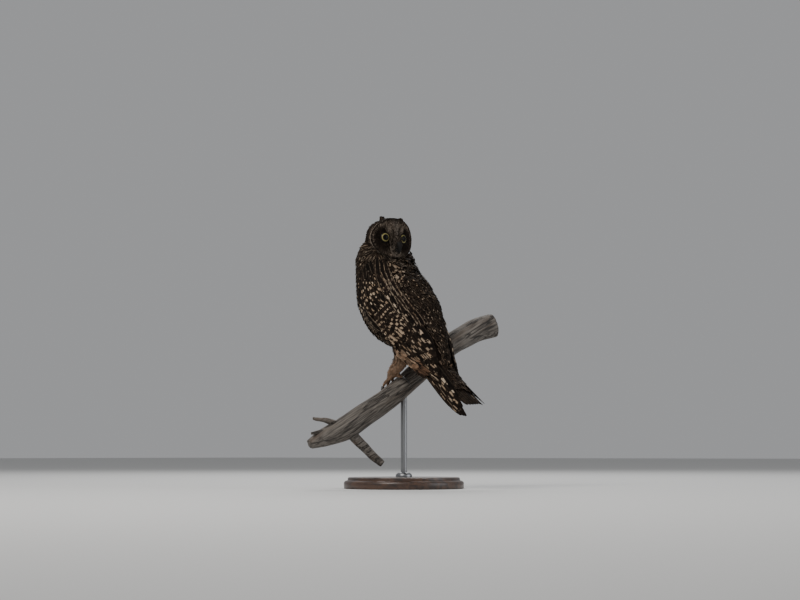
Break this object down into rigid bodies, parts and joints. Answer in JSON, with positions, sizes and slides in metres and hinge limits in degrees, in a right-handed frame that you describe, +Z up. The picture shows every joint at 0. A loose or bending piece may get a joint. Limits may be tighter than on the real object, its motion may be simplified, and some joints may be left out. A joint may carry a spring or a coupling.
{
  "type": "short-eared owl model",
  "caption": "Life-size owl gripping a sloping cut branch and looking back over its shoulder, with folded wings, on a round display stand.",
  "frame": {"origin": "middle of the stand's underside, below the rod", "axes": "+Z up, the owl's breast and feet face -Y, its left side is +X, and its head is turned back towards +Y"},
  "size_m": [0.3267, 0.2499, 0.4359],
  "materials": {
    "plumage": "soft body feathers, dark brown with buff spots and streaks",
    "flight_feathers": "folded wing and tail feathers, dark brown barred with buff",
    "face_feathers": "fine grey-buff facial feathers, black round the eyes",
    "leg_feathers": "short warm buff leg feathers",
    "horn": "polished black horn",
    "eye": "wet yellow iris with a black pupil",
    "weathered_wood": "bare weathered grey branch with long cracks",
    "stand_wood": "dark satin turned wood",
    "stand_steel": "satin steel"
  },
  "bodies": {
    "root": {"torso": "plumage", "neck": "plumage", "head": "face_feathers", "bill_upper": "horn", "bill_lower": "horn", "eye_left": "eye", "eye_right": "eye", "ear_tuft_left": "plumage", "ear_tuft_right": "plumage", "tail": "flight_feathers", "wing_left": "flight_feathers", "wing_right": "flight_feathers", "thigh_left": "leg_feathers", "shank_left": "leg_feathers", "foot_left": "leg_feathers", "claw_left_inner": "horn", "claw_left_middle": "horn", "claw_left_outer": "horn", "claw_left_hind": "horn", "thigh_right": "leg_feathers", "shank_right": "leg_feathers", "foot_right": "leg_feathers", "claw_right_inner": "horn", "claw_right_middle": "horn", "claw_right_outer": "horn", "claw_right_hind": "horn", "perch_branch": "weathered_wood", "stand_base": "stand_wood", "stand_collar": "stand_steel", "stand_rod": "stand_steel"}
  },
  "joints": []
}
